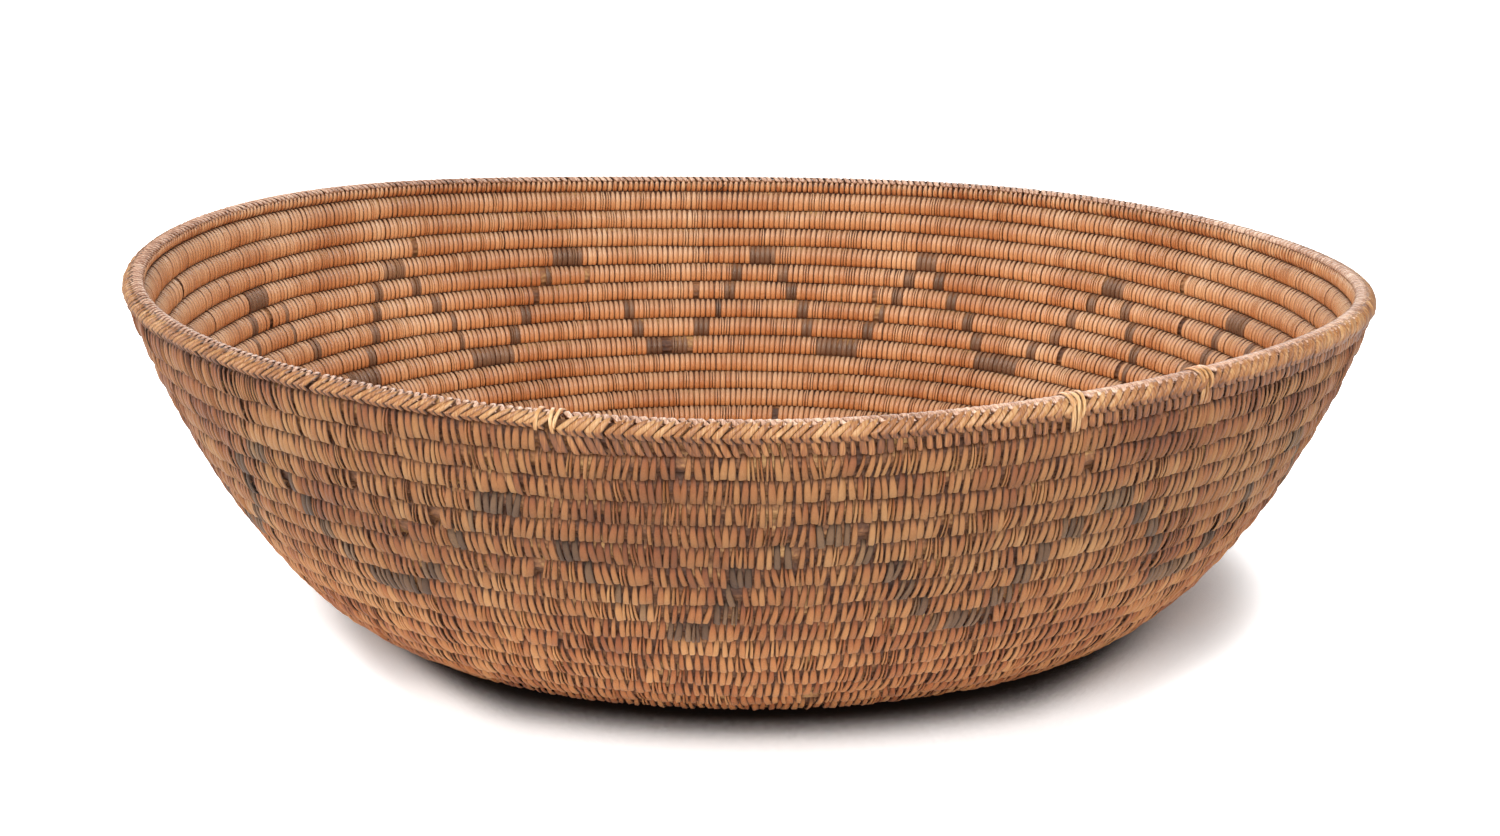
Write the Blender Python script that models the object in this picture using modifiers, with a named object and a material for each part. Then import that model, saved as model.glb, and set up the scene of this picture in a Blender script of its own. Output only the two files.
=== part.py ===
"""Basket bowl: a bundle of rods wound as a flat spiral and up a flared wall, with a laced rim.

Metres, +Z up. The origin is the middle of the underside, on the flat of the start knot.
"""
import math

import bmesh
import bpy
from mathutils import Vector

MM = 0.001

# Driving sizes of the bowl, measured to the outer faces
RIM_DIAMETER = 430 * MM
HEIGHT = 117 * MM
BASE_DIAMETER = 267 * MM
WALL_TURN_REACH = 28 * MM
HEEL_LENGTH = 50 * MM
RIM_STRAIGHT_REACH = 55 * MM
RIM_LEAN = math.radians(13.6)

# The wound bundle: the room that one row takes, and the least gap to the next row
ROW_PITCH = 8.25 * MM
ROW_GAP = 0.65 * MM
JOINT_GAP = 0.3 * MM
TAIL_DIAMETER = 2.2 * MM
POINTS_PER_TURN = 22
COIL_END_ANGLE = math.radians(-107)

# The laced edge: a half-round cap over the last turn
LACING_DIAMETER = 7.2 * MM
LACING_COVER = 0.8 * MM
FIRST_ROW_DEPTH = 3.5 * MM
PLAIN_JOINT_DEGREES = (12, 62, 112, 158, 201, 232)
SPLICED_JOINT_DEGREES = (-50, 255, 297)
SPLICE_LENGTH = 7 * MM
SPLICE_STEP = 0.5 * MM

# The knot in the middle of the base
KNOT_DIAMETER = 14 * MM
KNOT_HEIGHT = 5.5 * MM
KNOT_ROUNDING = 1 * MM

# Linear colours of the split shoots, of the paler lacing and of its newest wraps
SPLINT_COLOUR = (0.52, 0.25, 0.09)
LACING_COLOUR = (0.69, 0.37, 0.12)
SPLICE_COLOUR = (0.76, 0.48, 0.20)
SPLINT_ROUGHNESS = 0.55
LACING_ROUGHNESS = 0.5

# The rim as it has settled with age, in shares of the rim's radius: for each number of waves round
# the rim, the cosine and the sine part of how far it lies above its mean height, and outside its circle
RIM_HEIGHT_WAVE_SHARES = {1: (-0.017, 0.0), 2: (0.015, -0.008), 3: (-0.004, -0.001), 4: (-0.004, -0.003)}
RIM_SPREAD_WAVE_SHARES = {2: (0.015, 0.003), 3: (0.0, -0.009)}

RIM_RADIUS = RIM_DIAMETER / 2
BASE_RADIUS = BASE_DIAMETER / 2
LACING_RADIUS = LACING_DIAMETER / 2
STEP_ANGLE = 2 * math.pi / POINTS_PER_TURN
CORD_DIAMETER = ROW_PITCH - ROW_GAP
# A six-sided cord is narrower across its flats, which lie along the bowl's inner and outer faces
FLAT_SHARE = math.cos(math.pi / 6)
HALF_THICKNESS = CORD_DIAMETER / 2 * FLAT_SHARE
# The underside is cut flat by a tenth of the cord, and the cut is the ground
GROUND_CUT = CORD_DIAMETER / 10
WELD_DISTANCE = JOINT_GAP / 100
OUTLINE_STEPS = 200


def clear_scene():
    for item in list(bpy.data.objects):
        bpy.data.objects.remove(item, do_unlink=True)


def new_collection(name):
    collection = bpy.data.collections.new(name)
    bpy.context.scene.collection.children.link(collection)
    return collection


def wall_outline():
    """Points (radius, height) of the bowl's outer face, from the edge of the flat base to the rim."""
    start = Vector((BASE_RADIUS, 0))
    end = Vector((RIM_RADIUS, HEIGHT))
    leave = start + Vector((WALL_TURN_REACH, 0))
    arrive = end - RIM_STRAIGHT_REACH * Vector((math.sin(RIM_LEAN), math.cos(RIM_LEAN)))
    points = []
    for i in range(OUTLINE_STEPS + 1):
        t = i / OUTLINE_STEPS
        u = 1 - t
        points.append(u**3 * start + 3 * u * u * t * leave + 3 * u * t * t * arrive + t**3 * end)
    return points


def section_line():
    """The line that the bundle's middle follows from the bowl's axis to its edge, with its lengths."""
    outer = wall_outline()
    line = [Vector((0, HALF_THICKNESS))]
    for i, point in enumerate(outer):
        ahead = outer[min(i + 1, OUTLINE_STEPS)] - outer[max(i - 1, 0)]
        inward = Vector((-ahead.y, ahead.x)).normalized()
        line.append(point + HALF_THICKNESS * inward)
    lengths = [0.0]
    for i in range(1, len(line)):
        lengths.append(lengths[-1] + (line[i] - line[i - 1]).length)
    return line, lengths


SECTION, SECTION_LENGTHS = section_line()
EDGE_LENGTH = SECTION_LENGTHS[-1]
# The innermost turn keeps clear of the knot, also in the middle of a straight run between two steps
INNERMOST_DEPTH = EDGE_LENGTH - (KNOT_DIAMETER / 2 + JOINT_GAP) / math.cos(STEP_ANGLE / 2)


def section_at(length):
    """Radius, height and slope angle of the section line at a length along it."""
    i = 1
    while i < len(SECTION) - 1 and SECTION_LENGTHS[i] < length:
        i += 1
    run = SECTION[i] - SECTION[i - 1]
    share = (length - SECTION_LENGTHS[i - 1]) / (SECTION_LENGTHS[i] - SECTION_LENGTHS[i - 1])
    point = SECTION[i - 1] + share * run
    return point.x, point.y, math.atan2(run.y, run.x)


def waves(shares, angle):
    total = 0.0
    for count, (cosine, sine) in shares.items():
        total += cosine * math.cos(count * angle) + sine * math.sin(count * angle)
    return total


def settled(radius, height, angle):
    """A place on the bowl, moved as the rim has settled: fully at the rim and not at all at the base."""
    share = (height - HALF_THICKNESS) / (HEIGHT - HALF_THICKNESS)
    spread = radius * (1 + share * waves(RIM_SPREAD_WAVE_SHARES, angle))
    lift = share * RIM_RADIUS * waves(RIM_HEIGHT_WAVE_SHARES, angle)
    return Vector((spread * math.cos(angle), spread * math.sin(angle), height + lift - GROUND_CUT))


def corner_angle(number):
    """The angle of a corner: the bundle runs straight from one to the next, and they lie in lines."""
    return COIL_END_ANGLE + STEP_ANGLE * number


def step_angle_of(step):
    """The angle of a step, counted back from the bundle's end: it is wound anticlockwise from above."""
    return corner_angle(-step)


def row_depth(step):
    """Depth below the rim's edge of the bundle's middle, and its thickness, at a step before its end.

    The bundle thins out to a tail over its last turn, under the lacing, and over its first, by the knot.
    """
    turns = step / POINTS_PER_TURN
    top = FIRST_ROW_DEPTH + ROW_PITCH * (turns - 1) + ROW_GAP / 2
    if turns < 1:
        tail_top = LACING_COVER + JOINT_GAP
        row_top = FIRST_ROW_DEPTH + ROW_GAP / 2
        top = tail_top + (row_top - tail_top) * turns
    bottom = min(FIRST_ROW_DEPTH + ROW_PITCH * turns - ROW_GAP / 2, INNERMOST_DEPTH)
    return (top + bottom) / 2, bottom - top


def innermost_step():
    step = POINTS_PER_TURN
    while row_depth(step + 1)[1] > TAIL_DIAMETER:
        step += 1
    return step


def first_step_within(length):
    """The first step, counted from the rim, at which the bundle is within a length of the bowl's axis."""
    step = POINTS_PER_TURN
    while EDGE_LENGTH - row_depth(step)[0] > length:
        step += 1
    return step


# The lengths of the bundle that turn the flat base into the wall: the foot is its first turn off the
# base, and the heel goes on to where the wall is steep
LAST_STEP = innermost_step()
BASE_STEP = first_step_within(BASE_RADIUS)
FOOT_STEP = BASE_STEP - POINTS_PER_TURN
HEEL_STEP = first_step_within(BASE_RADIUS + HEEL_LENGTH)


def coil_point(step):
    radius, height, _ = section_at(EDGE_LENGTH - row_depth(step)[0])
    return settled(radius, height, step_angle_of(step))


def coil_radius(step):
    """Half the bundle's thickness: the settled rows are squeezed or eased, and the gap between them stays."""
    half = row_depth(step)[1] / 2
    room = []
    for other in (step - POINTS_PER_TURN, step + POINTS_PER_TURN):
        if 0 <= other <= LAST_STEP:
            apart = (coil_point(step) - coil_point(other)).length - ROW_GAP
            room.append(apart * half / (half + row_depth(other)[1] / 2))
    return min(room)


def coil_tilt(step):
    """Turns the cord so that its corners point to the next rows and its flats to the faces of the bowl."""
    return section_at(EDGE_LENGTH - row_depth(step)[0])[2]


def cord_stations(first, last, first_trim, last_trim):
    """Places, half thicknesses and tilts along the bundle; a trimmed end lies half a step further on."""
    stations = [(coil_point(n), coil_radius(n), coil_tilt(n)) for n in range(first, last + 1)]
    if first_trim:
        stations.insert(0, half_step(first, first - 1, first_trim))
    if last_trim:
        stations.append(half_step(last, last + 1, last_trim))
    return stations


def half_step(inside, outside, trim):
    """The middle between two steps of the bundle, drawn back by a trim."""
    here, there = coil_point(inside), coil_point(outside)
    place = (here + there) / 2 + trim * (here - there).normalized()
    radius = (coil_radius(inside) + coil_radius(outside)) / 2
    return place, radius, (coil_tilt(inside) + coil_tilt(outside)) / 2


def tube(name, stations, bevel_resolution, collection):
    """A capped tube through stations, made a mesh with its caps welded on."""
    curve = bpy.data.curves.new(name + "_path", "CURVE")
    curve.dimensions = "3D"
    curve.twist_mode = "Z_UP"
    curve.bevel_depth = 1
    curve.bevel_resolution = bevel_resolution
    curve.use_fill_caps = True
    spline = curve.splines.new("POLY")
    spline.points.add(len(stations) - 1)
    for point, (place, radius, tilt) in zip(spline.points, stations):
        point.co = (*place, 1)
        point.radius = radius
        point.tilt = tilt
    path = bpy.data.objects.new(name + "_path", curve)
    collection.objects.link(path)
    bpy.context.view_layer.update()
    evaluated = path.evaluated_get(bpy.context.evaluated_depsgraph_get())
    mesh = bpy.data.meshes.new_from_object(evaluated)
    shape = bmesh.new()
    shape.from_mesh(mesh)
    bmesh.ops.remove_doubles(shape, verts=shape.verts, dist=WELD_DISTANCE)
    bmesh.ops.recalc_face_normals(shape, faces=shape.faces)
    shape.to_mesh(mesh)
    shape.free()
    item = bpy.data.objects.new(name, mesh)
    item.matrix_world = path.matrix_world
    collection.objects.link(item)
    bpy.data.objects.remove(path, do_unlink=True)
    bpy.data.curves.remove(curve)
    return item


def add_material(item, colour, roughness):
    material = bpy.data.materials.new(item.name)
    material.use_nodes = True
    shader = material.node_tree.nodes["Principled BSDF"]
    shader.inputs["Base Color"].default_value = (*colour, 1)
    shader.inputs["Roughness"].default_value = roughness
    shader.inputs["Metallic"].default_value = 0
    item.data.materials.clear()
    item.data.materials.append(material)


def cut(item, cutter):
    modifier = item.modifiers.new("cut", "BOOLEAN")
    modifier.operation = "DIFFERENCE"
    modifier.solver = "EXACT"
    modifier.object = cutter


def as_cutter(item):
    item.hide_render = True
    item.display_type = "WIRE"
    return item


def ground_cutter(collection):
    """A slab under the ground, wider than the base."""
    slab_side = 2 * BASE_DIAMETER
    slab_depth = ROW_PITCH
    bpy.ops.mesh.primitive_cube_add(size=1, location=(0, 0, -slab_depth / 2))
    slab = bpy.context.object
    slab.name = "ground_cutter"
    slab.scale = (slab_side, slab_side, slab_depth)
    move_to(slab, collection)
    return as_cutter(slab)


def move_to(item, collection):
    for holder in list(item.users_collection):
        holder.objects.unlink(item)
    collection.objects.link(item)


def start_knot(collection):
    """The knot that the first turn is wound round: a low round boss, flat below."""
    bpy.ops.mesh.primitive_cylinder_add(
        vertices=POINTS_PER_TURN,
        radius=KNOT_DIAMETER / 2,
        depth=KNOT_HEIGHT,
        location=(0, 0, KNOT_HEIGHT / 2),
    )
    knot = bpy.context.object
    knot.name = "start_knot"
    bevel = knot.modifiers.new("rounding", "BEVEL")
    bevel.width = KNOT_ROUNDING
    bevel.segments = 2
    bevel.limit_method = "ANGLE"
    move_to(knot, collection)
    return knot


def least_gap(stations):
    """The least gap between neighbouring turns of one unbroken tube, on points along its length."""
    least = math.inf
    for i in range(len(stations) - POINTS_PER_TURN + 1):
        for j in range(i + POINTS_PER_TURN - 1, min(i + POINTS_PER_TURN + 2, len(stations))):
            apart = (stations[i][0] - stations[j][0]).length
            least = min(least, apart - stations[i][1] - stations[j][1])
    return least


def edge_point(angle):
    """The middle of the lacing at an angle, on the straight run between two corners of the rim."""
    radius, height, _ = section_at(EDGE_LENGTH - LACING_RADIUS)
    number = (angle - COIL_END_ANGLE) / STEP_ANGLE
    before = math.floor(number)
    here = settled(radius, height, corner_angle(before))
    there = settled(radius, height, corner_angle(before + 1))
    return here + (number - before) * (there - here)


def edge_tilt():
    return -section_at(EDGE_LENGTH - LACING_RADIUS)[2]


def lacing_stations(start, end, start_trim, end_trim):
    """Stations for a length of lacing between two angles, trimmed at both ends."""
    first = math.floor((start - COIL_END_ANGLE) / STEP_ANGLE) + 1
    last = math.ceil((end - COIL_END_ANGLE) / STEP_ANGLE) - 1
    angles = [corner_angle(number) for number in range(first, last + 1)]
    places = [edge_point(angle) for angle in [start, *angles, end]]
    places[0] = places[0] + start_trim * (places[1] - places[0]).normalized()
    places[-1] = places[-1] + end_trim * (places[-2] - places[-1]).normalized()
    return [(place, LACING_RADIUS, edge_tilt()) for place in places]


def splice_stations(angle):
    """Stations for a short wrap over the place where two lengths of lacing meet."""
    here = edge_point(angle)
    before = math.floor((angle - COIL_END_ANGLE) / STEP_ANGLE)
    along = (edge_point(corner_angle(before + 1)) - edge_point(corner_angle(before))).normalized()
    radius = LACING_RADIUS + SPLICE_STEP
    return [(here + side * SPLICE_LENGTH / 2 * along, radius, edge_tilt()) for side in (-1, 1)]


def lacing_trim(is_spliced):
    if is_spliced:
        return SPLICE_LENGTH / 2 + JOINT_GAP
    return JOINT_GAP / 2


def wind_bundle(bowl, cutters):
    """The bundle in lengths that meet end to end: the last turn, wall, heel, foot and base."""
    half_gap = JOINT_GAP / 2
    lengths = {
        "rim_coil": cord_stations(0, POINTS_PER_TURN, 0, half_gap),
        "wall_coil": cord_stations(POINTS_PER_TURN + 1, HEEL_STEP - 1, half_gap, half_gap),
        "heel_coil": cord_stations(HEEL_STEP, FOOT_STEP - 1, half_gap, half_gap),
        "foot_coil": cord_stations(FOOT_STEP, BASE_STEP - 1, half_gap, half_gap),
        "base_coil": cord_stations(BASE_STEP, LAST_STEP, half_gap, 0),
    }
    ground = ground_cutter(cutters)
    for name, stations in lengths.items():
        coil = tube(name, stations, 1, bowl)
        add_material(coil, SPLINT_COLOUR, SPLINT_ROUGHNESS)
        if name != "rim_coil":
            cut(coil, ground)
        turns = (len(stations) - 1) / POINTS_PER_TURN
        print(name, "turns", round(turns, 1), "least gap to itself in mm", round(least_gap(stations) / MM, 2))


def lace_edge(bowl, cutters):
    """Lengths of lacing, and wraps where they are spliced, seated on the two uppermost turns."""
    seat_stations = []
    for place, radius, tilt in cord_stations(0, 2 * POINTS_PER_TURN, 0, 0):
        seat_stations.append((place, radius + JOINT_GAP, tilt))
    seat = as_cutter(tube("lacing_seat_cutter", seat_stations, 1, cutters))

    degrees_in_order = sorted(PLAIN_JOINT_DEGREES + SPLICED_JOINT_DEGREES)
    joints = [math.radians(degrees) for degrees in degrees_in_order]
    spliced = [degrees in SPLICED_JOINT_DEGREES for degrees in degrees_in_order]
    for i, start in enumerate(joints):
        after = (i + 1) % len(joints)
        end = joints[after] + (2 * math.pi if after == 0 else 0)
        stations = lacing_stations(start, end, lacing_trim(spliced[i]), lacing_trim(spliced[after]))
        lacing = tube("rim_lacing_" + str(i + 1), stations, 2, bowl)
        cut(lacing, seat)
        add_material(lacing, LACING_COLOUR, LACING_ROUGHNESS)

    for number, degrees in enumerate(SPLICED_JOINT_DEGREES, 1):
        wrap = tube("lacing_splice_" + str(number), splice_stations(math.radians(degrees)), 2, bowl)
        cut(wrap, seat)
        add_material(wrap, SPLICE_COLOUR, LACING_ROUGHNESS)


def main():
    clear_scene()
    bowl = new_collection("basket_bowl")
    cutters = new_collection("cutters")
    add_material(start_knot(bowl), SPLINT_COLOUR, SPLINT_ROUGHNESS)
    wind_bundle(bowl, cutters)
    lace_edge(bowl, cutters)


main()
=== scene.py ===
"""Basket bowl: one bundle of rods, wound and sewn into a flat base and a flared wall, with a laced rim."""

import math

import bmesh
import bpy
import numpy as np
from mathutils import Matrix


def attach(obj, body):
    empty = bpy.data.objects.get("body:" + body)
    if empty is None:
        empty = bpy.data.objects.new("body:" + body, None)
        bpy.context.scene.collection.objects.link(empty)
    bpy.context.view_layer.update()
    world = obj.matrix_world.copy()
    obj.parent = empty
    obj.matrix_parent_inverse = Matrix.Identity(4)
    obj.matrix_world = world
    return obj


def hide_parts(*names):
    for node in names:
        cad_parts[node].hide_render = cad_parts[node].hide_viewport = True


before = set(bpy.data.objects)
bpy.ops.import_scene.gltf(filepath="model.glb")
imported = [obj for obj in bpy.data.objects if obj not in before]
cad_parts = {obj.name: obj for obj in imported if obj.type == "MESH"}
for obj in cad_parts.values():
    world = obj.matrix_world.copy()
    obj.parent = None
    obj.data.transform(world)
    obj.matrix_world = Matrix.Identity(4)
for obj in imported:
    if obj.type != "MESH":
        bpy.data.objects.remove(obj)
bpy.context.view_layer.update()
for item in bpy.context.selected_objects:
    item.select_set(False)

# The foundation: one unbroken bundle of thin rods, peeled shoots that are dark with age and are drawn
# darker still, as painted shade in the gaps between the stitches. It is wound as a spiral from the knot in
# the middle of the base up to the rim, and shows only between the stitches and where they have broken. It
# is drawn as one strand with the outline of nine rods side by side, and with a tongue into the groove on
# each side.

# The spiral's form has the frame's own sizes: the wall turns out of a flat base, and the rim has settled
# into slow waves, given as shares of its radius for 1, 2, 3 and 4 waves round. A place on it is an angle
# round the bowl, a depth below the rim's edge and a distance out from the middle of the wall.
MM = 0.001
RIM_RADIUS = 215 * MM
WALL_HEIGHT = 117 * MM
BASE_RADIUS = 133.5 * MM
WALL_TURN_REACH = 28 * MM
RIM_STRAIGHT_REACH = 55 * MM
RIM_LEAN = math.radians(13.6)
RIM_HEIGHT_WAVES = {1: (-0.017, 0.0), 2: (0.015, -0.008), 3: (-0.004, -0.001), 4: (-0.004, -0.003)}
RIM_SPREAD_WAVES = {2: (0.015, 0.003), 3: (0.0, -0.009)}
ROW_PITCH = 8.25 * MM
HALF_THICKNESS = 3.29 * MM
GROUND_CUT = 0.76 * MM
PAST_EDGE = 20 * MM
SECTION_STEPS = 201


def wall_section():
    """Lengths along the wall's middle from the bowl's axis, with the radius, height and slope at each."""
    t = np.linspace(0, 1, SECTION_STEPS)[:, None]
    start, end = np.array([BASE_RADIUS, 0]), np.array([RIM_RADIUS, WALL_HEIGHT])
    leave = start + [WALL_TURN_REACH, 0]
    arrive = end - RIM_STRAIGHT_REACH * np.array([math.sin(RIM_LEAN), math.cos(RIM_LEAN)])
    outer = (1 - t) ** 3 * start + 3 * (1 - t) ** 2 * t * leave + 3 * (1 - t) * t * t * arrive + t**3 * end
    ahead = np.gradient(outer, axis=0)
    ahead /= np.linalg.norm(ahead, axis=1)[:, None]
    middle = outer + HALF_THICKNESS * np.stack([-ahead[:, 1], ahead[:, 0]], 1)
    line = np.vstack([[0, HALF_THICKNESS], middle, middle[-1] + PAST_EDGE * ahead[-1]])
    slope = np.arctan2(ahead[:, 1], ahead[:, 0])
    slope = np.concatenate([[0], slope, slope[-1:]])
    lengths = np.concatenate([[0], np.cumsum(np.linalg.norm(np.diff(line, axis=0), axis=1))])
    return lengths, line[:, 0], line[:, 1], slope


def waves(shares, angle):
    """The sum of some waves round the bowl, from the cosine and sine shares of each."""
    return sum(c * np.cos(n * angle) + s * np.sin(n * angle) for n, (c, s) in shares.items())


SECTION, SECTION_RADIUS, SECTION_HEIGHT, SECTION_SLOPE = wall_section()
EDGE_LENGTH = SECTION[-2]


def place(angle, depth, outward):
    """Points at an angle round the bowl, a depth below the rim's edge and a distance out of the wall."""
    length = EDGE_LENGTH - depth
    radius = np.interp(length, SECTION, SECTION_RADIUS)
    height = np.interp(length, SECTION, SECTION_HEIGHT)
    slope = np.interp(length, SECTION, SECTION_SLOPE)
    settled = (height - HALF_THICKNESS) / (WALL_HEIGHT - HALF_THICKNESS)
    lift = settled * RIM_RADIUS * waves(RIM_HEIGHT_WAVES, angle)
    radius = radius * (1 + settled * waves(RIM_SPREAD_WAVES, angle)) + outward * np.sin(slope)
    height = height + lift - GROUND_CUT - outward * np.cos(slope)
    return np.stack([radius * np.cos(angle), radius * np.sin(angle), height], -1)


# The spiral is counted back from its end at the rim, in turns. It has a thin tail at both ends
COIL_END = math.radians(-107)
FIRST_ROW_DEPTH = 3.5 * MM
TAIL_DEPTH = 0.9 * MM
TAIL_WIDTH = 2.8 * MM
KNOT_RADIUS = 7 * MM
TURN_STEPS, MOST_TURNS = 120, 34


def angle_at(turns):
    """The angle round the bowl at a number of turns from the coil's end."""
    return COIL_END - 2 * math.pi * turns


# How far the rows stray from an even spiral, in mm of depth at some angles: near the rim and halfway down
STRAY_DEGREES = (-140, -112, -100, -85, -50, 20, 90, 160, 220)
STRAY_HIGH = (1.7, 0.3, -1.2, -1.4, -0.7, -1.1, 0.0, 1.1, 1.7)
STRAY_LOW = (0.8, 0.2, -1.1, -1.0, -0.7, 0.2, -1.1, -0.5, 0.8)
STRAY_DEPTHS = (2 * MM, 12 * MM, 55 * MM, 105 * MM, 150 * MM)
NEAR_RIM_SHARES, HALFWAY_SHARES = (0, 1, 0, 0, 0), (0, 0, 1, 0.5, 0)
SMOOTHED_OVER = range(-8, 9, 2)
# Small ripples on top of that: how many go round, their drift from row to row, and their size in mm
RIPPLES = ((7, 0.9, 0.10), (11, -1.3, 0.12), (19, 2.1, 0.10), (31, -3.2, 0.07))


def smoothed(degrees, values):
    """Values given at the stray angles, averaged over a few degrees."""
    return np.mean([np.interp(degrees + by, STRAY_DEGREES, values, period=360) for by in SMOOTHED_OVER], 0)


def stray(angle, depth):
    """How much deeper a row lies at an angle and a depth than an even spiral would put it."""
    degrees = (np.degrees(angle) - STRAY_DEGREES[0]) % 360 + STRAY_DEGREES[0]
    high, low = smoothed(degrees, STRAY_HIGH), smoothed(degrees, STRAY_LOW)
    near_rim = np.interp(depth, STRAY_DEPTHS, NEAR_RIM_SHARES)
    halfway = np.interp(depth, STRAY_DEPTHS, HALFWAY_SHARES)
    uneven = sum(size * np.sin(n * angle + drift * depth / ROW_PITCH) for n, drift, size in RIPPLES)
    return (near_rim * high + halfway * low + (near_rim + halfway) * uneven) * MM


def row_edges(turns):
    """Depths of the upper and the lower edge of the row at a number of turns from the coil's end."""
    lower = np.minimum(FIRST_ROW_DEPTH + ROW_PITCH * turns, EDGE_LENGTH - KNOT_RADIUS)
    upper = FIRST_ROW_DEPTH + ROW_PITCH * (turns - 1)
    tail = TAIL_DEPTH + (FIRST_ROW_DEPTH - TAIL_DEPTH) * turns
    upper = np.where(turns < 1, tail, upper)
    return upper + stray(angle_at(turns), upper), lower + stray(angle_at(turns), lower)


COIL_TURNS = np.arange(0, MOST_TURNS, 1 / TURN_STEPS)
upper_edges, lower_edges = row_edges(COIL_TURNS)
COIL_TURNS = COIL_TURNS[: np.argmax((lower_edges - upper_edges < TAIL_WIDTH) & (COIL_TURNS > 1))]
upper_edges, lower_edges = row_edges(COIL_TURNS)
coil_middle = place(angle_at(COIL_TURNS), (upper_edges + lower_edges) / 2, 0)
coil_steps = np.linalg.norm(np.diff(coil_middle, axis=0), axis=1)
COIL_ARC = np.concatenate([[0], np.cumsum(coil_steps)])


def turns_at(arc):
    """Turns from the coil's end at a length along the coil."""
    return np.interp(arc, COIL_ARC, COIL_TURNS)


def arc_at(turns):
    """The length along the coil at a number of turns from its end."""
    return np.interp(turns, COIL_TURNS, COIL_ARC)


# The base has worn flat where it stands: what would lie under the ground is pressed up onto it
PRESSED_FROM, PRESSED_LOWEST, GROUND_GAP = 1.2 * MM, -1.7 * MM, 0.04 * MM


def on_ground(points):
    """The same points, with those under the ground pressed up onto it."""
    z = points[..., 2]
    share = np.clip((z - PRESSED_LOWEST) / (PRESSED_FROM - PRESSED_LOWEST), 0, None)
    points[..., 2] = np.where(z < PRESSED_FROM, GROUND_GAP + share * (PRESSED_FROM - GROUND_GAP), z)
    return points


def on_coil(arc, down, outward):
    """Points on the coil: a length along it, and across it from -1 at the upper edge to 1 at the lower."""
    turns = turns_at(arc)
    upper, lower = row_edges(turns)
    depth = (upper + lower) / 2 + down * (lower - upper) / 2
    fullness = np.clip((lower - upper) / ROW_PITCH, 0, 1)
    return on_ground(place(angle_at(turns), depth, outward * fullness))


def turns_below(length):
    """The turns at which the coil lies within a length of the bowl's axis."""
    return COIL_TURNS[np.argmax(EDGE_LENGTH - (upper_edges + lower_edges) / 2 < length)]


# Where the frame divides the coil: the last turn at the rim, the wall, the heel, the foot and the base
HEEL_LENGTH = 50 * MM
WALL_TURNS, HEEL_TURNS = 1.0, turns_below(BASE_RADIUS + HEEL_LENGTH)
BASE_TURNS, LAST_TURNS = turns_below(BASE_RADIUS), COIL_TURNS[-1]
FOOT_TURNS = BASE_TURNS - 1
COIL_LENGTHS = {
    "rim_coil": (0, WALL_TURNS),
    "wall_coil": (WALL_TURNS, HEEL_TURNS),
    "heel_coil": (HEEL_TURNS, FOOT_TURNS),
    "foot_coil": (FOOT_TURNS, BASE_TURNS),
    "base_coil": (BASE_TURNS, LAST_TURNS),
}


# The rods' finish. The dark wood, darkened further as painted shade for the gaps, has browner patches of
# about 11 mm and specks of about 1 mm, both drawn coarser than the grain of a real rod, which is too fine
# to show
RODS_PATCH_SCALE, RODS_SPECK_SCALE, RODS_SPECK_SHARE = 90.0, 900.0, 0.4
RODS_COLOURS = ((0.45, "#3A2012"), (0.62, "#5A3620"), (0.78, "#8E5E39"), (0.95, "#B98D58"))


def linear(colour):
    """The linear colour of a written sRGB one, with full alpha."""
    parts = [int(colour[i : i + 2], 16) / 255 for i in (1, 3, 5)]
    return [p / 12.92 if p <= 0.04045 else ((p + 0.055) / 1.055) ** 2.4 for p in parts] + [1]


def new_material(name):
    """A new material, and the shader that it comes with."""
    material = bpy.data.materials.new(name)
    material.use_nodes = True
    return material, material.node_tree.nodes["Principled BSDF"]


def add_node(material, kind, inputs=None, **settings):
    """Adds a node with its settings. An input is set to a value, or linked where an output is given."""
    node = material.node_tree.nodes.new("ShaderNode" + kind)
    for name, value in settings.items():
        setattr(node, name, value)
    for socket, value in (inputs or {}).items():
        if isinstance(value, bpy.types.NodeSocket):
            material.node_tree.links.new(value, node.inputs[socket])
        else:
            node.inputs[socket].default_value = value
    return node


def set_ramp(node, stops):
    """Sets a colour ramp's stops from pairs of place and colour."""
    ramp = node.color_ramp
    while len(ramp.elements) < len(stops):
        ramp.elements.new(0.5)
    for element, (position, colour) in zip(ramp.elements, stops):
        element.position, element.color = position, linear(colour)
    return node.outputs["Color"]


rods_material, rods_shader = new_material("old_peeled_rods")
rods_where = add_node(rods_material, "TexCoord").outputs["Object"]
rods_patches, rods_specks = (
    add_node(rods_material, "TexNoise", {"Vector": rods_where, "Scale": scale, "Detail": 2.0})
    for scale in (RODS_PATCH_SCALE, RODS_SPECK_SCALE)
)
rods_mixed = add_node(
    rods_material, "Math",
    {0: rods_specks.outputs["Fac"], 1: RODS_SPECK_SHARE, 2: rods_patches.outputs["Fac"]},
    operation="MULTIPLY_ADD",
).outputs[0]
rods_colour = set_ramp(add_node(rods_material, "ValToRGB", {"Fac": rods_mixed}), RODS_COLOURS)
rods_material.node_tree.links.new(rods_colour, rods_shader.inputs["Base Color"])
rods_shader.inputs["Roughness"].default_value = 0.65

# The bundle's outline: rods side by side, each a small swell, and a tongue at the top and the bottom
ROD_COUNT, ROD_POINTS, ROD_SWELL = 9, 4, 0.15
BUNDLE_HALF_HEIGHT, BUNDLE_HALF_THICKNESS = 3.75 * MM, 2.85 * MM
TONGUE_REACH, TONGUE_HALF_THICKNESS = 4.6 * MM, 0.5 * MM
BUNDLE_GROUND_GAP = 0.15 * MM
FOUNDATION_STEPS = 90
DOUBLES_WITHIN = 0.01 * MM


def select_only(pieces):
    """Selects some pieces and nothing else, with the first as the active one."""
    bpy.ops.object.select_all(action="DESELECT")
    for piece in pieces:
        piece.select_set(True)
    bpy.context.view_layer.objects.active = pieces[0]


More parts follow.
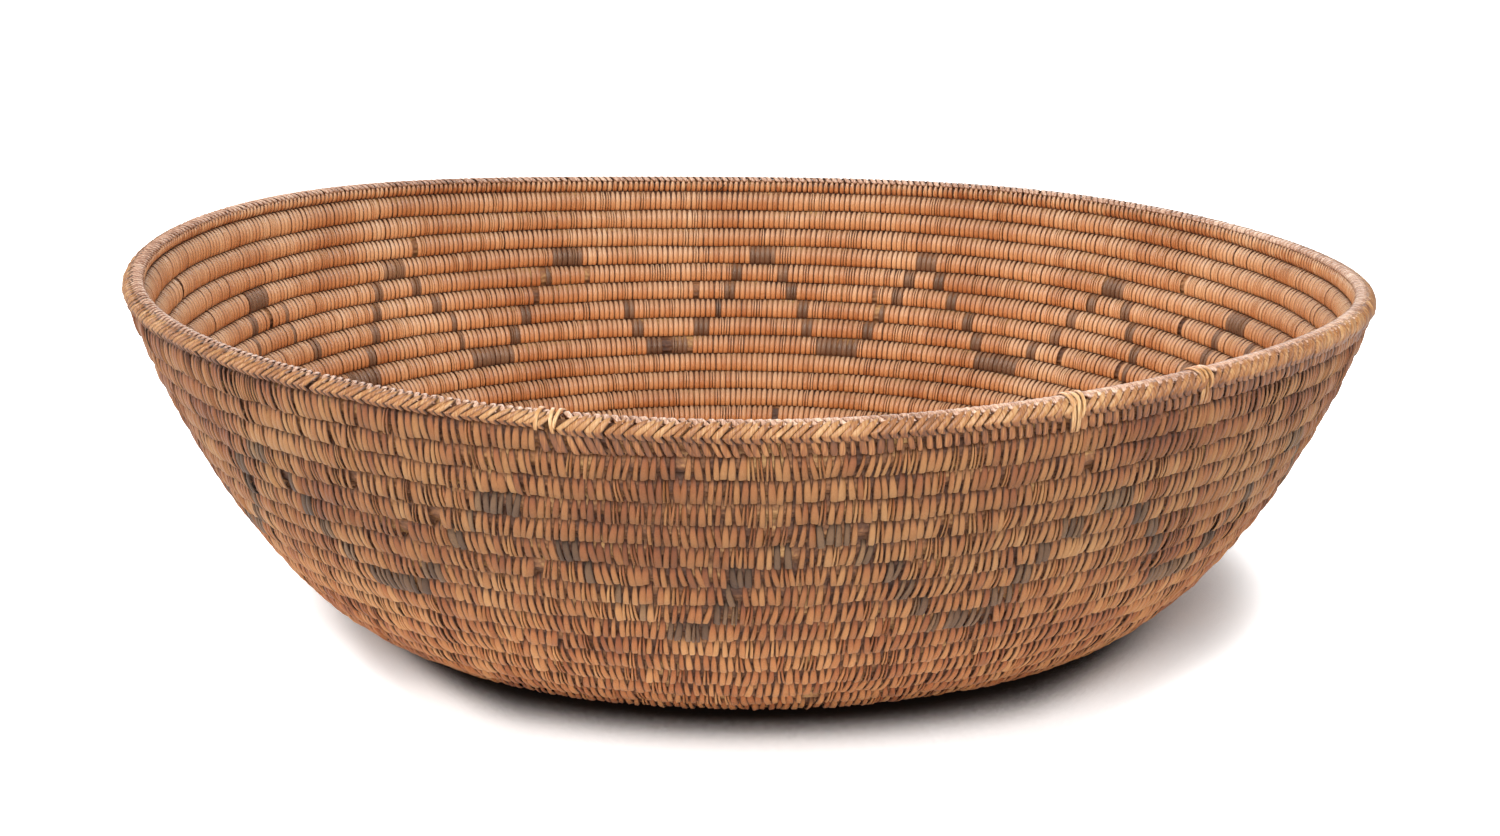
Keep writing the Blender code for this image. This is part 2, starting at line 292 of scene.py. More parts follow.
bpy.ops.mesh.primitive_circle_add(vertices=ROD_COUNT * ROD_POINTS, radius=1)
rods_outline = bpy.context.object
rods_outline.name = "rods_outline"
for vertex in rods_outline.data.vertices:
    around = math.atan2(vertex.co.y, vertex.co.x)
    vertex.co *= 1 - ROD_SWELL + ROD_SWELL * abs(math.cos(ROD_COUNT * around / 2))
    vertex.co.x *= BUNDLE_HALF_HEIGHT
    vertex.co.y *= BUNDLE_HALF_THICKNESS
    if abs(vertex.co.y) < TONGUE_HALF_THICKNESS:
        vertex.co.x = math.copysign(TONGUE_REACH, vertex.co.x)
bpy.ops.object.convert(target="CURVE")

for node, (first, last) in COIL_LENGTHS.items():
    name = node.replace("coil", "foundation")
    turns = np.append(np.arange(first, last, 1 / FOUNDATION_STEPS), last)
    middle = on_coil(arc_at(turns), 0, 0)
    edges = row_edges(turns)
    fullness = np.clip((edges[1] - edges[0]) / ROW_PITCH, 0, 1)
    fullness = np.minimum(fullness, (middle[:, 2] - BUNDLE_GROUND_GAP) / BUNDLE_HALF_THICKNESS)
    path = bpy.data.curves.new(name, "CURVE")
    path.dimensions, path.twist_mode, path.bevel_mode = "3D", "Z_UP", "OBJECT"
    path.bevel_object, path.use_fill_caps = rods_outline, True
    spline = path.splines.new("POLY")
    spline.points.add(len(turns) - 1)
    spline.points.foreach_set("co", np.column_stack([middle, np.ones(len(turns))]).ravel())
    spline.points.foreach_set("radius", fullness)
    slope = np.interp(EDGE_LENGTH - (edges[0] + edges[1]) / 2, SECTION, SECTION_SLOPE)
    spline.points.foreach_set("tilt", slope)
    rods = bpy.data.objects.new(name, path)
    bpy.context.scene.collection.objects.link(rods)
    select_only([rods])
    bpy.ops.object.convert(target="MESH")
    rods = bpy.context.object
    bpy.ops.object.mode_set(mode="EDIT")
    bpy.ops.mesh.select_all(action="SELECT")
    bpy.ops.mesh.remove_doubles(threshold=DOUBLES_WITHIN)
    bpy.ops.mesh.normals_make_consistent(inside=False)
    bpy.ops.object.mode_set(mode="OBJECT")
    bpy.ops.object.shade_smooth()
    rods.data.materials.clear()
    rods.data.materials.append(rods_material)
    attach(rods, "root")
    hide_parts(node)
bpy.data.objects.remove(rods_outline, do_unlink=True)

# The sewing: split shoots, flat inside and slightly round outside, each wrapped round the bundle and
# through the row below. One strip is modelled, cut across where it bends, and laid once for each stitch.
# It is 2 wide, 2 long and 2 thick until it is laid, with a crown narrower than its foot.
STATIONS = 14
CROWN_SHARE = 0.58
PITCH_MEAN, PITCH_CHANGE = 2.36 * MM, 0.14 * MM

bpy.ops.object.select_all(action="DESELECT")
bpy.ops.mesh.primitive_cube_add(size=2)
strip = bpy.context.object
bpy.ops.object.mode_set(mode="EDIT")
strip_shape = bmesh.from_edit_mesh(strip.data)
bpy.ops.mesh.select_mode(type="EDGE")
bpy.ops.mesh.select_all(action="DESELECT")
for edge in strip_shape.edges:
    edge.select_set(abs(edge.verts[0].co.y - edge.verts[1].co.y) > 1)
bpy.ops.mesh.subdivide(number_cuts=STATIONS - 2)
bpy.ops.mesh.select_mode(type="VERT")
bpy.ops.mesh.select_all(action="DESELECT")
for vertex in strip_shape.verts:
    vertex.select_set(vertex.co.z > 0)
bpy.ops.transform.resize(value=(CROWN_SHARE, 1, 1), center_override=(0, 0, 0))
bpy.ops.object.mode_set(mode="OBJECT")
strip_points = np.array([vertex.co for vertex in strip.data.vertices])
strip_faces = np.array([face.vertices for face in strip.data.polygons])
ACROSS = strip_points[:, 0]
STATION = np.rint((strip_points[:, 1] + 1) / 2 * (STATIONS - 1)).astype(int)
HEIGHT = (strip_points[:, 2] + 1) / 2
bpy.data.objects.remove(strip, do_unlink=True)

# The strip laid flat as a map, for baking: its crown, right edge, underside and left edge side by side.
# These are their places across the map, all of them in shares of one strip's patch of it.
CROWN_AT, CROWN_SPAN, END_SPAN = 0.25, 0.4, 0.2
RIGHT_EDGE_AT, UNDERSIDE_AT, LEFT_EDGE_AT, EDGE_SPAN = 0.6, 0.74, 0.88, 0.1
MAP_MARGIN, END_DEPTH = 0.05, 0.03
MAP_ASPECT = 5.4
face_across, face_high = ACROSS[strip_faces], HEIGHT[strip_faces]
on_crown, on_edge = face_high.min(1) > 0.5, face_across.min(1) * face_across.max(1) > 0
at_end = np.ptp(STATION[strip_faces], axis=1) == 0
right_side = (face_across.mean(1) > 0)[:, None]
flat_across = np.where(
    on_crown[:, None], CROWN_AT + CROWN_SPAN * face_across, np.where(
        on_edge[:, None],
        np.where(right_side, RIGHT_EDGE_AT - EDGE_SPAN * face_high, LEFT_EDGE_AT + EDGE_SPAN * face_high),
        UNDERSIDE_AT - EDGE_SPAN * face_across,
    )
)
flat_along = MAP_MARGIN + (1 - 2 * MAP_MARGIN) * STATION[strip_faces] / (STATIONS - 1)
end_along = np.where(STATION[strip_faces] == 0, END_DEPTH * face_high, 1 - END_DEPTH * face_high)
flat_across = np.where(at_end[:, None], CROWN_AT + END_SPAN * face_across, flat_across)
flat_along = np.where(at_end[:, None], end_along, flat_along)

# A strip's edges are painted darker than its crown, as shade between the strips, it is smoothed but for its
# sharp edges, and its grain starts at a place of its own, within some mm
EDGE_SHADE, SHARP_EDGE, GRAIN_STARTS = 1.1, math.radians(60), 50


def lay_strips(name, surface, arc, stations, along, half_width, thickness, twist, shade, inner, fall, tone):
    """Lays one strip for each arc place and makes them one piece.

    stations holds, for each strip and station, its place across the surface and out of it. along shifts
    a station along the row, half_width is its half width there, and twist lifts one long edge. The
    thickness lies to one side of the strip's path, and to the other side where it is negative. shade,
    inner, fall and tone are for the finish: the painted shade, the inside of the bowl, the foot of a row,
    and how pale the splint is.
    """
    count = len(arc)
    shape = (count, STATIONS)
    along, half_width = np.broadcast_to(along, shape), np.broadcast_to(half_width, shape)
    stations = np.broadcast_to(stations, (*shape, 2))
    course = np.gradient(stations, axis=1)
    course /= np.linalg.norm(course, axis=2, keepdims=True)
    outwards = np.stack([course[..., 1], -course[..., 0]], -1)
    sunk = (1 - HEIGHT)[None, :, None] * np.broadcast_to(thickness, (count, 1))[:, :, None]
    lifted = (ACROSS[None, :] * np.broadcast_to(twist, shape)[:, STATION])[:, :, None]
    at = stations[:, STATION] - (sunk - lifted) * outwards[:, STATION]
    shift = along[:, STATION] + ACROSS[None, :] * half_width[:, STATION]
    points = surface(arc[:, None] + shift, at[..., 0], at[..., 1])
    mesh = bpy.data.meshes.new(name)
    faces = (strip_faces[None] + np.arange(count)[:, None, None] * len(strip_points)).reshape(-1, 4)
    mesh.vertices.add(points.size // 3)
    mesh.vertices.foreach_set("co", points.ravel())
    mesh.loops.add(faces.size)
    mesh.loops.foreach_set("vertex_index", faces.ravel())
    mesh.polygons.add(len(faces))
    mesh.polygons.foreach_set("loop_start", np.arange(0, faces.size, 4))
    mesh.update(calc_edges=True)
    lengthwise = np.concatenate([np.zeros((count, 1)), np.cumsum(
        np.linalg.norm(np.diff(stations, axis=1), axis=2), axis=1)], 1)[:, STATION]
    ends = np.random.default_rng(count).uniform(0, GRAIN_STARTS, (count, 1))
    values = {
        "tone": np.broadcast_to(tone[:, None], (count, len(ACROSS))),
        "shade": np.broadcast_to(shade, shape)[:, STATION] + EDGE_SHADE * (1 - HEIGHT),
        "inner": np.broadcast_to(inner, shape)[:, STATION],
        "fall": np.broadcast_to(fall, shape)[:, STATION],
    }
    for key, value in values.items():
        mesh.attributes.new(key, "FLOAT", "POINT").data.foreach_set("value", value.ravel())
    grain = np.stack([shift / MM + ends, lengthwise / MM, np.broadcast_to(ends, shift.shape)], -1)
    mesh.attributes.new("grain", "FLOAT_VECTOR", "POINT").data.foreach_set("vector", grain.ravel())
    rows = max(1, round(math.sqrt(count / MAP_ASPECT)))
    columns = math.ceil(count / rows)
    column, row = np.arange(count) % columns, np.arange(count) // columns
    flat = np.stack([
        (column[:, None, None] + flat_across) / columns, (row[:, None, None] + flat_along) / rows
    ], -1)
    mesh.uv_layers.new(name="OFBake").data.foreach_set("uv", flat.ravel())
    piece = bpy.data.objects.new(name, mesh)
    bpy.context.scene.collection.objects.link(piece)
    select_only([piece])
    bpy.ops.object.mode_set(mode="EDIT")
    bpy.ops.mesh.select_all(action="SELECT")
    bpy.ops.mesh.normals_make_consistent(inside=False)
    bpy.ops.object.mode_set(mode="OBJECT")
    bpy.ops.object.shade_smooth_by_angle(angle=SHARP_EDGE)
    return piece


# The path of one stitch round its row, from its foot outside over the top to its foot inside: its place
# down the row and out of the wall. Outside it is drawn down like a shingle over the row below. Inside it is
# round and even. The rest say where along the path it is painted darker as shade, in the grooves and under
# the row above, where it is low in its row, inside the bowl or wide.
STITCH_DOWN = np.array([4.7, 5.05, 4.5, 2.5, 0.2, -1.9, -3.3, -4.0, -3.5, -2.2, -0.3, 1.7, 3.3, 4.3]) * MM
STITCH_OUT = np.array(
    [2.3, 3.2, 3.68, 3.9, 3.72, 3.0, 1.75, -0.6, -2.35, -3.3, -3.85, -3.55, -2.8, -1.9]
) * MM
STITCH_SHADE = np.array([1.0, 0.3, 0.05, 0.0, 0.12, 0.5, 0.95, 0.7, 0.3, 0.05, 0.0, 0.0, 0.05, 0.25])
STITCH_FALL = np.array([1, 1, 0.95, 0.72, 0.42, 0.15, 0, 0, 0.05, 0.2, 0.45, 0.7, 0.9, 1.0])
STITCH_INNER = np.array([0, 0, 0, 0, 0, 0, 0, 0.5, 1, 1, 1, 1, 1, 1])
OUTSIDE = 1 - STITCH_INNER
LOW_END = np.array([1, 1, 0.95, 0.65, 0.3, 0.08, 0, 0, 0, 0, 0, 0, 0, 0])
WIDE_LOW = np.array([0.94, 1, 1, 0.95, 0.8, 0.45, 0.15, 0, 0, 0, 0, 0, 0, 0])
UPPER_OUTSIDE = np.array([0, 0, 0, 0.3, 0.6, 1, 1, 0.4, 0, 0, 0, 0, 0, 0])
INSIDE_RUN = np.array([0, 0, 0, 0, 0, 0, 0, 0, 0.1, 0.3, 0.5, 0.7, 0.9, 1])
INSIDE_WIDTH = np.array([0, 0, 0, 0, 0, 0, 0, 0.35, 0.56, 0.86, 1.0, 1.04, 1.04, 1.0]) * MM
SPLIT_SHARE, MISSING_SHARE, UNDYED_SHARE = 0.13, 0.003, 0.03
SEWING_SEED, INSIDE_SEED = 12, 13

angles_along = angle_at(turns_at(np.arange(0, COIL_ARC[-1], MM)))
stitch_number = np.cumsum(MM / (PITCH_MEAN - PITCH_CHANGE * np.sin(angles_along)))
first_number = stitch_number[int(arc_at(WALL_TURNS) / MM)]
stitch_arc = np.interp(
    np.arange(first_number, stitch_number[-1]), stitch_number, np.arange(len(stitch_number)) * MM
)
stitch_count = len(stitch_arc)
draw = np.random.default_rng(SEWING_SEED)


def drift(spread, reach):
    """Random values that change slowly along the sewing, alike in neighbours within a reach."""
    weights = np.hanning(2 * reach + 3)[1:-1]
    values = np.convolve(draw.normal(0, 1, stitch_count + 2 * reach), weights, "valid")
    return spread * values / np.linalg.norm(weights)


# Each stitch strays by its own amount, in mm, and by a share that it has in common with its neighbours.
# The tone is how pale its splint is.
stitch_arc = stitch_arc + draw.normal(0, 0.07, stitch_count) * MM
stitch_turns = turns_at(stitch_arc)
stitch_tone = draw.normal(0, 0.5, stitch_count) + drift(0.28, 8)
stitch_low_shift = (draw.normal(0.15, 0.36, stitch_count) + drift(0.5, 5))[:, None] * MM
stitch_top_shift = (draw.normal(-0.1, 0.18, stitch_count))[:, None] * MM
stitch_lean = -(draw.normal(0.42, 0.07, stitch_count) + drift(0.1, 12))[:, None] * MM
stitch_low_end = (draw.normal(0, 0.24, stitch_count) + drift(0.2, 4))[:, None] * MM
stitch_lift = np.clip(draw.normal(0, 0.16, stitch_count) + drift(0.1, 5), -0.3, 0.3)[:, None] * MM
stitch_twist = (draw.normal(0.0, 0.16, stitch_count) + drift(0.08, 5))[:, None] * MM
stitch_width_low = np.clip(draw.normal(1.08, 0.17, stitch_count), 0.6, 1.4)[:, None] * MM
stitch_width_top = np.clip(draw.normal(0.76, 0.13, stitch_count), 0.45, 1.05)[:, None] * MM
stitch_split = draw.random(stitch_count) < SPLIT_SHARE
stitch_missing = draw.random(stitch_count) < MISSING_SHARE
stitch_lift_inside = np.random.default_rng(INSIDE_SEED).normal(0, 0.12, stitch_count)[:, None] * MM

stitch_along = LOW_END * stitch_low_shift + UPPER_OUTSIDE * stitch_top_shift + INSIDE_RUN * stitch_lean
stitch_half = (
    stitch_width_low * WIDE_LOW * OUTSIDE + stitch_width_top * (1 - WIDE_LOW) * OUTSIDE + INSIDE_WIDTH
)
stitch_stations = np.stack(
    [
        (STITCH_DOWN + LOW_END * stitch_low_end) / (ROW_PITCH / 2),
        STITCH_OUT + OUTSIDE * stitch_lift + STITCH_INNER * stitch_lift_inside,
    ],
    -1,
)

# The pattern: dyed shoots, sewn in place of plain ones, step down from each peak to the next valley and
# up again. For each row it gives the first and the last angle of each dyed block, in degrees. Peaks lie in
# the fifth row from the rim and valleys in the tenth.
DYED = {
    5: (
        (-140.3, -137.4), (-113.6, -109.5), (-84.2, -81.6), (-58.4, -54.8), (-31.5, -28.3), (-8, -4.6),
        (17.6, 21.4), (39.8, 43.1), (66.2, 69.3), (86.8, 90.1), (111.3, 115), (135.6, 138.6), (158.9, 163),
        (188.2, 191.5),
    ),
    6: (
        (-136.7, -135.2), (-115, -114), (-107.3, -105.5), (-88, -86.4), (-80.5, -79.1), (-61.3, -59.4),
        (-53.4, -51.8), (-33.6, -32), (-26.5, -25), (-11, -9.6), (-3, -1.4), (14.2, 15.7), (21.5, 22.6),
        (38.2, 39.7), (43.6, 44.9), (65.2, 66.4), (69.3, 70.4), (85.4, 86.7), (90.8, 92), (110.4, 111.1),
        (116, 117), (133.8, 135.2), (139.7, 141), (156.6, 157.6), (163.5, 164.5),
        (184.8, 186.2), (193.5, 195), (215.5, 217),
    ),
    7: (
        (-135.2, -134), (-117.6, -116.2), (-105.3, -104), (-91.8, -89.8), (-77.5, -76.3), (-63.4, -62),
        (-50.8, -49.2), (-35.4, -34), (-24, -22.6), (-13.5, -12.2), (-0.6, 0.8), (11.6, 13), (22.2, 23.4),
        (35.9, 37.4), (45.6, 46.9), (63.1, 64.3), (70.3, 71.7), (84.2, 85.6), (92, 93.4), (108.2, 109.4),
        (117.6, 118.6), (132, 133.4), (141, 142.6), (156.2, 157.5), (164.8, 165.8), (182, 183.4),
        (197, 198.4), (214.8, 216.2),
    ),
    8: (
        (-134.2, -132.5), (-120, -118.9), (-103.5, -101.7), (-92.6, -91.7), (-76.3, -75), (-64.8, -63.3),
        (-49.2, -47.8), (-37.2, -36), (-21.8, -20.4), (-15.8, -14.6), (2, 3.3), (9.4, 10.6), (24.3, 25.6),
        (34.5, 35.6), (47.5, 48.9), (60.2, 61.4), (72.3, 73.8), (82.3, 83.5), (93.9, 94.8), (105.3, 106.7),
        (119.7, 120.5), (130.2, 131.3), (142.7, 143.8), (153.6, 155), (167.2, 168.4), (179.6, 180.8),
        (200, 201.4), (213.5, 214.8),
    ),
    9: (
        (-132.3, -130.9), (-122.1, -119.9), (-101.2, -99.8), (-93.4, -91.4), (-74.7, -73.3), (-66.8, -64.8),
        (-47.9, -46.6), (-38.9, -37.1), (4.2, 5.4), (7.2, 8.4), (26.8, 28.2), (33.8, 35.1), (49.8, 51.1),
        (58.5, 59.8), (73.5, 74.6), (81.7, 83), (95.5, 97.2), (104.1, 105.4), (121.6, 122.9), (129.8, 130.7),
        (144.6, 145.7), (152, 153.2), (169.8, 171), (177.8, 179), (202.6, 204), (211.6, 213),
    ),
    10: (
        (-129.9, -122.4), (-97.9, -93.9), (-72.5, -66), (-46.1, -38.8), (-20, -15.5), (5, 8), (28.8, 33),
        (51.9, 58.4), (75.3, 81.8), (97.5, 104), (122.9, 129.5), (145.6, 151), (171.6, 177), (205, 211),
    ),
}

stitch_row = np.floor(stitch_turns).astype(int) + 1
stitch_degrees = np.degrees(angle_at(stitch_turns)) % 360
stitch_dyed = np.zeros(stitch_count, bool)
for row, blocks in DYED.items():
    for first, last in blocks:
        within = (stitch_degrees - first) % 360 <= last - first
        stitch_dyed |= (stitch_row == row) & within
stitch_dyed &= draw.random(stitch_count) > UNDYED_SHARE


# The finish of the split shoots: a tan wood with a satin skin, warmer and redder inside the bowl, with
# painted shade in the grooves, under the overhangs and along the strips' edges. Each splint has its own
# tone. Its fibres are drawn 0.4 mm wide and 5 mm long, coarser than real ones, which are too fine to show,
# and patches of about 36 mm lie over all the splints.
FIBRE_SCALES, PATCH_SCALE = (2.6, 0.2, 1), 28.0
FIBRES_SHARE, FIBRES_OFFSET, PATCHES_SHARE = 1.25, -0.475, 0.7
TONE_OUTSIDE, TONE_INSIDE = 0.16, 0.08
FIBRES_LOW, FIBRES_HIGH, FIBRES_RELIEF, RELIEF_STRENGTH = 0.3, 0.7, 0.12 * MM, 0.4
INSIDE_SMOOTHER = -0.25
# The painted shade: the shade values where it starts and where it is full, how dark it gets, and its colour
# inside the bowl
PAINTED_SHADE_FROM, PAINTED_SHADE_FULL, PAINTED_SHADE_MOST, INSIDE_PAINTED_SHADE = 0.2, 1.3, 0.9, "#723F25"
# Outside, the splints are painted paler toward the foot of the bowl, as painted bounce light from the floor:
# from which height to which, and how much
BOUNCE_LIGHT_FROM, BOUNCE_LIGHT_TO, BOUNCE_LIGHT_GAIN = 75 * MM, 8 * MM, (1.7, 1.66, 1.68, 1)


def splint_finish(name, outside, inside, groove, roughness, gloss, stops=(0.2, 0.42, 0.58, 0.8)):
    """A material of split shoots.

    Each face has two ramps of colour from dark to pale splints, for the top and the foot of its rows. Inside
    the bowl they partly paint the light: painted shade on the tops, and a painted highlight and painted warm
    bounce light lower in the row. groove is the colour of the painted shade outside the bowl.
    """
    material, shader = new_material(name)
    link = material.node_tree.links.new
    tone, shade, inner, fall = (
        add_node(material, "Attribute", attribute_name=key).outputs["Fac"]
        for key in ("tone", "shade", "inner", "fall")
    )
    grain = add_node(material, "Attribute", attribute_name="grain").outputs["Vector"]
    where = add_node(material, "TexCoord").outputs["Object"]
    stretched = add_node(material, "Mapping", {"Vector": grain, "Scale": FIBRE_SCALES}).outputs["Vector"]
    fibres = add_node(material, "TexNoise", {"Vector": stretched, "Scale": 1.0, "Detail": 2.0}).outputs["Fac"]
    patches = add_node(
        material, "TexNoise", {"Vector": where, "Scale": PATCH_SCALE, "Detail": 3.0}
    ).outputs["Fac"]
    tone_share = add_node(
        material, "Math", {0: inner, 1: TONE_INSIDE - TONE_OUTSIDE, 2: TONE_OUTSIDE},
        operation="MULTIPLY_ADD",
    ).outputs[0]
    mixed = FIBRES_OFFSET
    for part, share in ((fibres, FIBRES_SHARE), (patches, PATCHES_SHARE), (tone, tone_share)):
        mixed = add_node(
            material, "Math", {0: part, 1: share, 2: mixed}, operation="MULTIPLY_ADD"
        ).outputs[0]
    # The top and foot ramps: inside the bowl, partly painted shade at the top of each row, and a painted
    # highlight and painted bounce light lower down
    faces = []
    for ramps in (outside, inside):
        top, foot = (
            set_ramp(add_node(material, "ValToRGB", {"Fac": mixed}), tuple(zip(stops, colours)))
            for colours in ramps
        )
        faces.append(add_node(material, "Mix", {0: fall, 6: top, 7: foot}, data_type="RGBA").outputs[2])
    colour = add_node(material, "Mix", {0: inner, 6: faces[0], 7: faces[1]}, data_type="RGBA").outputs[2]
    height = add_node(material, "SeparateXYZ", {0: where}).outputs["Z"]
    # Painted bounce light: outside the bowl, the colour is made paler toward its foot
    painted_bounce = add_node(
        material, "MapRange", {0: height, 1: BOUNCE_LIGHT_FROM, 2: BOUNCE_LIGHT_TO, 3: 0.0, 4: 1.0},
        interpolation_type="SMOOTHSTEP",
    ).outputs[0]
    outer = add_node(material, "Math", {0: inner, 1: -1.0, 2: 1.0}, operation="MULTIPLY_ADD").outputs[0]
    painted_bounce = add_node(material, "Math", {0: painted_bounce, 1: outer}, operation="MULTIPLY").outputs[0]
    colour = add_node(
        material, "Mix", {0: painted_bounce, 6: colour, 7: BOUNCE_LIGHT_GAIN}, data_type="RGBA", blend_type="MULTIPLY"
    ).outputs[2]
    # Painted shade: the colour goes toward the dark groove colour where the shade value is high
    painted_shade = add_node(
        material, "MapRange", {0: shade, 1: PAINTED_SHADE_FROM, 2: PAINTED_SHADE_FULL, 3: 0.0, 4: PAINTED_SHADE_MOST},
        interpolation_type="SMOOTHSTEP",
    ).outputs[0]
    painted_shade_colour = add_node(
        material, "Mix", {0: inner, 6: linear(groove), 7: linear(INSIDE_PAINTED_SHADE)}, data_type="RGBA"
    ).outputs[2]
    colour = add_node(material, "Mix", {0: painted_shade, 6: colour, 7: painted_shade_colour}, data_type="RGBA").outputs[2]
    link(colour, shader.inputs["Base Color"])
    rough = add_node(
        material, "MapRange",
        {0: fibres, 1: FIBRES_LOW, 2: FIBRES_HIGH, 3: roughness[0], 4: roughness[1]},
    ).outputs[0]
    rough = add_node(
        material, "Math", {0: inner, 1: INSIDE_SMOOTHER, 2: rough}, operation="MULTIPLY_ADD"
    ).outputs[0]
    link(rough, shader.inputs["Roughness"])
    bump = add_node(
        material, "Bump", {"Height": fibres, "Strength": RELIEF_STRENGTH, "Distance": FIBRES_RELIEF}
    ).outputs["Normal"]
    link(bump, shader.inputs["Normal"])
    shader.inputs["Specular IOR Level"].default_value = gloss
    shader.inputs["Sheen Weight"].default_value = 0.04
    shader.inputs["Sheen Roughness"].default_value = 0.4
    return material


plain_finish = splint_finish(
    "split_shoots_natural",
    (("#6C361A", "#8E4B26", "#9B6438", "#A57547"), ("#714322", "#8D5C31", "#9D6C3C", "#B08557")),
    (("#866245", "#A68262", "#B49272", "#C2A78C"), ("#A05528", "#C6763D", "#DD945A", "#ECB47D")),
    "#331A0C",
    (0.45, 0.62),
    0.42,
)
dyed_finish = splint_finish(
    "split_shoots_dyed",
    (("#463020", "#5F442F", "#73543A", "#976D44"), ("#443123", "#5E4633", "#745940", "#97744E")),
    (("#57402F", "#745741", "#8F6D52", "#B08460"), ("#4A301F", "#63432E", "#7E5940", "#A27450")),
    "#2A1C14",
    (0.45, 0.65),
    0.36,
    (0.2, 0.42, 0.6, 0.85),
)


# A stitch is half a mm thick. A split one is laid as two halves, given by the width of each, how far apart
# they are, how much wider their gap is at the foot, and how much their tones differ.
STITCH_THICKNESS = 0.5 * MM
HALVES_WIDTH, HALVES_APART, FOOT_GAP, HALVES_TONE = 0.46, 0.54, 0.16 * MM, 0.4


def sew(name, node, chosen, finish):
    """Lays the chosen stitches as one piece, with split ones laid as two narrow halves."""
    whole = chosen & ~stitch_split
    halved = chosen & stitch_split
    order = np.concatenate([np.flatnonzero(whole), np.repeat(np.flatnonzero(halved), 2)])
    half_side = np.concatenate([np.zeros(whole.sum()), np.tile([-1, 1], halved.sum())])[:, None]
    narrow = np.where(half_side == 0, 1, HALVES_WIDTH)
    spread = half_side * (HALVES_APART * stitch_half[order] + LOW_END * FOOT_GAP)
    piece = lay_strips(
        name, on_coil, stitch_arc[order], stitch_stations[order], stitch_along[order] + spread,
        stitch_half[order] * narrow, STITCH_THICKNESS, stitch_twist[order] * OUTSIDE, STITCH_SHADE,
        STITCH_INNER, STITCH_FALL, stitch_tone[order] + HALVES_TONE * half_side[:, 0],
    )
    piece.data.materials.append(finish)
    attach(piece, "root")
    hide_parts(node)


# A few stitches have broken off, and the rods show there: their angle, row and number of stitches
BROKEN = (
    (-91.2, 8, 1), (-83, 15, 2), (-47.2, 9, 1), (-136.1, 6, 1), (-122.7, 7, 1), (-86.2, 6, 1), (-80.6, 5, 1),
    (-118, 6, 1), (73.2, 8, 1), (97.9, 10, 1), (101.1, 10, 2), (118.1, 7, 1), (110.6, 6, 1), (116.4, 6, 1),
    (97.2, 7, 1), (86, 14, 1), (-60.6, 3, 1), (-95.4, 2, 1),
)


def turns_of(degrees, row):
    """Turns from the coil's end at an angle in a row, where the rim's row is row 1."""
    return (math.degrees(COIL_END) - degrees) % 360 / 360 + row - 1


stitch_shown = ~stitch_missing
for degrees, row, stitches in BROKEN:
    gap = stitches * PITCH_MEAN / 2
    stitch_shown &= abs(stitch_arc - arc_at(turns_of(degrees, row))) > gap

# The stitches of each row are one piece. In the base, where rows are short, those of four rows are.
BASE_GROUP = 4
for node, (first, last) in list(COIL_LENGTHS.items())[1:]:
    in_length = stitch_shown & (stitch_turns >= first) & (stitch_turns < last)
    group = BASE_GROUP if node == "base_coil" else 1
    rows = np.floor((stitch_turns - (0 if group == 1 else first)) / group).astype(int)
    for row in np.unique(rows[in_length]):
        in_row = in_length & (rows == row)
        number = str(row + 1).zfill(2)
        sew(node.replace("coil", "stitches_") + number, node, in_row & ~stitch_dyed, plain_finish)
        if (in_row & stitch_dyed).sum() > 1:
            sew(node.replace("coil", "dyed_stitches_") + number, node, in_row & stitch_dyed, dyed_finish)

# One splint's pale end was never trimmed, and sticks out under the far rim, inside the bowl. It rises from
# the groove to the middle of its row as it comes away from the wall.
LOOSE_END_DEGREES, LOOSE_END_ROW = 93.5, 1
LOOSE_END_DOWN, LOOSE_END_OUT, LOOSE_END_ALONG = (1.3, 0.0), (-4.2 * MM, -8.0 * MM), (-1.6 * MM, 1.4 * MM)
LOOSE_END_HALF, LOOSE_END_THICKNESS, LOOSE_END_TONE = 0.42 * MM, 0.3 * MM, 2.4
loose = lay_strips(
    "loose_splint_end", on_coil, arc_at(np.array([turns_of(LOOSE_END_DEGREES, LOOSE_END_ROW)])),
    np.stack([np.linspace(*LOOSE_END_DOWN, STATIONS), np.linspace(*LOOSE_END_OUT, STATIONS)], -1),
    np.linspace(*LOOSE_END_ALONG, STATIONS), LOOSE_END_HALF, LOOSE_END_THICKNESS, 0.0, 0.0, 0.0, 1.0,
    np.array([LOOSE_END_TONE]),
)
loose.data.materials.append(plain_finish)
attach(loose, "root")
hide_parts("rim_coil")

# The rim's lacing: pale splints, braided over the last turn. Each passes over the edge from inside, turns
# back down the outside as a chevron, and goes on as a leg over the row into the next groove.
LACE_PITCH, LACE_LINE_DEPTH = 2.8 * MM, 3.6 * MM
rim_degrees = np.arange(-60, 320, 0.5)
rim_edge = place(np.radians(rim_degrees), LACE_LINE_DEPTH, 0)
RIM_ARC = np.concatenate([[0], np.cumsum(np.linalg.norm(np.diff(rim_edge, axis=0), axis=1))])


def on_rim(arc, depth, outward):
    """Points on the rim: a length along its edge, a depth below the edge and a distance out."""
    return place(np.radians(np.interp(arc, RIM_ARC, rim_degrees)), depth, outward)


def rim_arc_at(degrees):
    """The length along the rim at an angle round it."""
    return np.interp(degrees, rim_degrees, RIM_ARC)


def rim_turns(degrees):
    """Turns from the coil's end at an angle round the rim, within the last turn."""
    return (math.degrees(COIL_END) - degrees) % 360 / 360


def first_groove(degrees):
    """Depth of the groove under the last turn, which the lacing's legs and wraps go into."""
    return row_edges(rim_turns(degrees))[1]


lace_finish = splint_finish(
    "lacing_splints_honey",
    (("#744825", "#946036", "#A67545", "#BA9163"), ("#6B3F22", "#89532A", "#9D6537", "#AE7A4A")),
    (("#8E6A54", "#B18A74", "#C7A18A", "#DBBDA6"), ("#754528", "#945C3A", "#AA6F4B", "#B98462")),
    "#341C0E",
    (0.36, 0.55),
    0.5,
)

